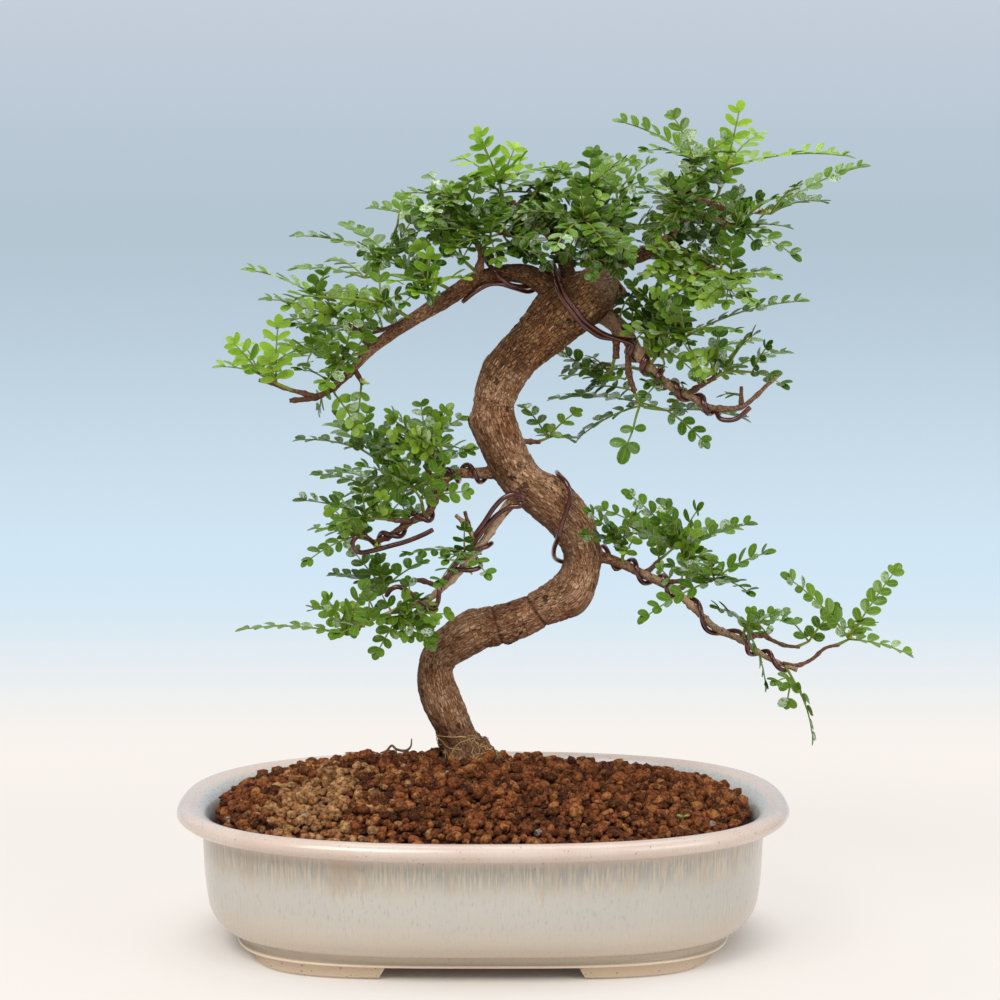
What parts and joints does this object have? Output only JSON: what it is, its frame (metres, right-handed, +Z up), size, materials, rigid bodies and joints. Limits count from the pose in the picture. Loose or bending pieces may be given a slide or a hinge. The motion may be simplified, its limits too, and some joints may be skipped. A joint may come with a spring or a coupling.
{
  "type": "japanese pepper bonsai",
  "caption": "Japanese pepper bonsai: an S-curved wired trunk with tiers of small feathered leaves, growing from granular soil in an oval, pale glazed pot on low feet.",
  "frame": {"origin": "on the table, under the middle of the whole plant and pot", "axes": "+Z up; the tree's front, the side that the grower shows, faces -Y; +X to the viewer's right"},
  "size_m": [0.3988, 0.2624, 0.4543],
  "materials": {
    "glaze": "glossy pale grey-celadon glaze with fine drip streaks, cream-pink lip and bare clay feet",
    "soil": "matt red-brown fired-clay granules of 3 to 7 mm with a paler patch",
    "bark": "smooth grey-brown bark with pale pores, corky and cracked near the top",
    "wire": "dark copper-brown anodised, half glossy",
    "screen": "black moulded mesh",
    "leaf": "glossy dark green, paler below",
    "young_leaf": "satin yellow-green",
    "dry_wood": "dry, dull grey-brown"
  },
  "bodies": {
    "root": {"drain_screen_left": "screen", "drain_screen_right": "screen", "dry_twig": "dry_wood", "pot": "glaze", "shoot_behind_trunk": "leaf", "shoot_crown_far_right": "leaf", "shoot_crown_front": "leaf", "shoot_crown_left_back": "leaf", "shoot_crown_left_front": "leaf", "shoot_crown_left_low": "leaf", "shoot_crown_left_rear": "leaf", "shoot_crown_low_front": "leaf", "shoot_crown_low_rear": "leaf", "shoot_crown_rear": "leaf", "shoot_crown_right_side": "leaf", "shoot_crown_right_top": "leaf", "shoot_crown_top": "leaf", "shoot_crown_upright_left": "young_leaf", "shoot_crown_upright_right": "young_leaf", "shoot_left_back_high": "leaf", "shoot_left_back_low": "leaf", "shoot_left_bright": "young_leaf", "shoot_left_front_high": "leaf", "shoot_left_front_low": "leaf", "shoot_left_high": "leaf", "shoot_left_tip": "young_leaf", "shoot_left_twig_high": "leaf", "shoot_lowleft_back": "leaf", "shoot_lowleft_hanging": "leaf", "shoot_lowleft_high": "leaf", "shoot_lowleft_tip": "leaf", "shoot_lowright_back": "leaf", "shoot_lowright_end": "young_leaf", "shoot_lowright_front": "leaf", "shoot_lowright_hanging": "leaf", "shoot_lowright_high": "leaf", "shoot_lowright_knee": "leaf", "shoot_lowright_upper": "leaf", "shoot_midleft_back": "leaf", "shoot_midleft_down": "leaf", "shoot_midleft_front": "leaf", "shoot_midleft_mass": "leaf", "shoot_midleft_side": "leaf", "shoot_midleft_tip": "leaf", "shoot_midleft_up": "leaf", "shoot_right_front": "leaf", "shoot_right_high": "leaf", "shoot_right_low": "leaf", "shoot_right_rear": "leaf", "shoot_right_tip": "young_leaf", "shoot_trunk_twig_leaves": "leaf", "soil": "soil", "wire_crown": "wire", "wire_low_left": "wire", "wire_low_left_second": "wire", "wire_low_right": "wire", "wire_mid_left": "wire", "wood": "bark"}
  },
  "joints": []
}
